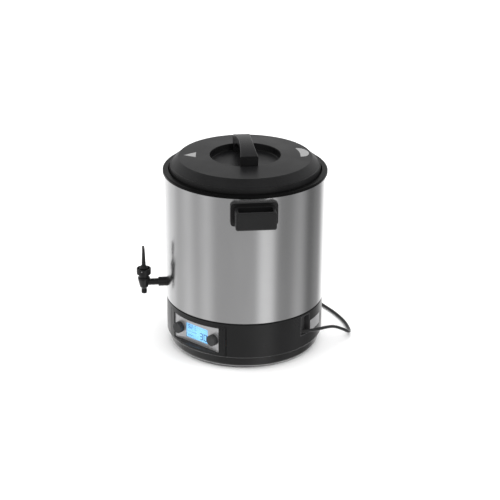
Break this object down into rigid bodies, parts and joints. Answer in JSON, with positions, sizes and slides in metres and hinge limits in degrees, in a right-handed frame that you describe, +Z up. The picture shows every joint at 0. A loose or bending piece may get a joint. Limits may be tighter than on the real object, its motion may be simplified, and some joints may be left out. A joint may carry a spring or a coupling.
{
  "type": "electric preserving and yogurt pot",
  "caption": "Tall round steel electric pot with a domed lid, two side handles, a low lever tap and a recessed panel with display and knobs in its dark base.",
  "frame": {"origin": "on the floor, under the centre of the pot", "axes": "+Z up, -Y towards the control panel"},
  "size_m": [0.4948, 0.4738, 0.4706],
  "materials": {
    "black_plastic": "fine grain",
    "brass": "turned",
    "bright_steel": "polished",
    "circuit": "solder resist",
    "copper_wire": "insulation",
    "cord_pvc": "smooth",
    "display": "lit",
    "enamel": "gloss enamel",
    "knob_plastic": "fine grain",
    "lid_enamel": "satin enamel",
    "rubber": "matt",
    "silicone": "matt",
    "silver": "satin",
    "spring_steel": "drawn",
    "steel": "brushed",
    "white_plastic": "plain",
    "window": "clear"
  },
  "bodies": {
    "pot": {"base_pan": "black_plastic", "feet": "rubber", "base_housing": "black_plastic", "pan_screws": "bright_steel", "seam_ring": "rubber", "outer_sleeve": "steel", "inner_pot": "enamel", "tie_bolt": "bright_steel", "heat_plate": "silver", "heating_element": "spring_steel", "heat_reflector": "silver", "reflector_posts": "spring_steel", "temperature_sensor": "brass", "sensor_spring": "spring_steel", "thermal_cutout": "bright_steel", "power_board": "circuit", "element_leads": "copper_wire", "panel_bezel": "black_plastic", "front_plate": "silver", "display_window": "window", "display_module": "display", "control_board": "circuit", "board_screws": "bright_steel", "encoders": "white_plastic", "ribbon_cable": "copper_wire", "cord_inlet": "black_plastic", "strain_relief": "rubber", "terminal_block": "white_plastic", "inner_lead": "cord_pvc", "cord": "cord_pvc", "cord_coil": "cord_pvc", "cord_tail": "cord_pvc", "cord_tie": "rubber", "plug": "black_plastic", "plug_pins": "bright_steel", "rating_plate": "silver", "side_handle_right": "black_plastic", "side_handle_left": "black_plastic", "handle_brackets": "steel", "handle_screws": "bright_steel", "tap_body": "black_plastic", "tap_union": "black_plastic", "tap_nut": "black_plastic", "tap_gasket_inner": "silicone", "tap_spacer": "silicone", "tap_cap": "black_plastic", "tap_pivot_pin": "bright_steel", "tap_spring": "spring_steel"},
    "lid": {"lid_shell": "lid_enamel", "lid_handle": "black_plastic", "lid_screws": "bright_steel"},
    "rack": {"rack": "steel"},
    "lever": {"tap_lever": "black_plastic", "tap_crank_pin": "bright_steel"},
    "valve": {"tap_stem": "spring_steel", "tap_seal": "silicone"},
    "knob_left": {"knob_left": "knob_plastic", "encoder_shaft_left": "bright_steel"},
    "knob_right": {"knob_right": "knob_plastic", "encoder_shaft_right": "bright_steel"}
  },
  "joints": [
    {"name": "lid_lift", "type": "slide", "parent": "pot", "child": "lid", "axis": [0, 0, 1], "range_m": [0, 0.2]},
    {"name": "rack_lift", "type": "slide", "parent": "pot", "child": "rack", "axis": [0, 0, 1], "range_m": [0, 0.24]},
    {"name": "lever_pull", "type": "hinge", "parent": "pot", "child": "lever", "pos_m": [-0.157, -0.16836, 0.173], "axis": [0.7314, -0.682, 0], "range_deg": [0, 25], "stiffness_Nm_per_rad": 0.12, "springref_deg": -17.19},
    {"name": "valve_lift", "type": "slide", "parent": "pot", "child": "valve", "axis": [0, 0, 1], "range_m": [0, 0.0022], "deforming": ["tap_spring"]},
    {"name": "knob_left_turn", "type": "hinge", "parent": "pot", "child": "knob_left", "pos_m": [-0.0495, -0.16, 0.06425], "axis": [0, -1, 0], "continuous": true},
    {"name": "knob_right_turn", "type": "hinge", "parent": "pot", "child": "knob_right", "pos_m": [0.0495, -0.16, 0.06425], "axis": [0, -1, 0], "continuous": true}
  ],
  "couplings": [
    {"joint": "valve_lift", "follows": "lever_pull", "m_per_rad": 0.0050366}
  ]
}
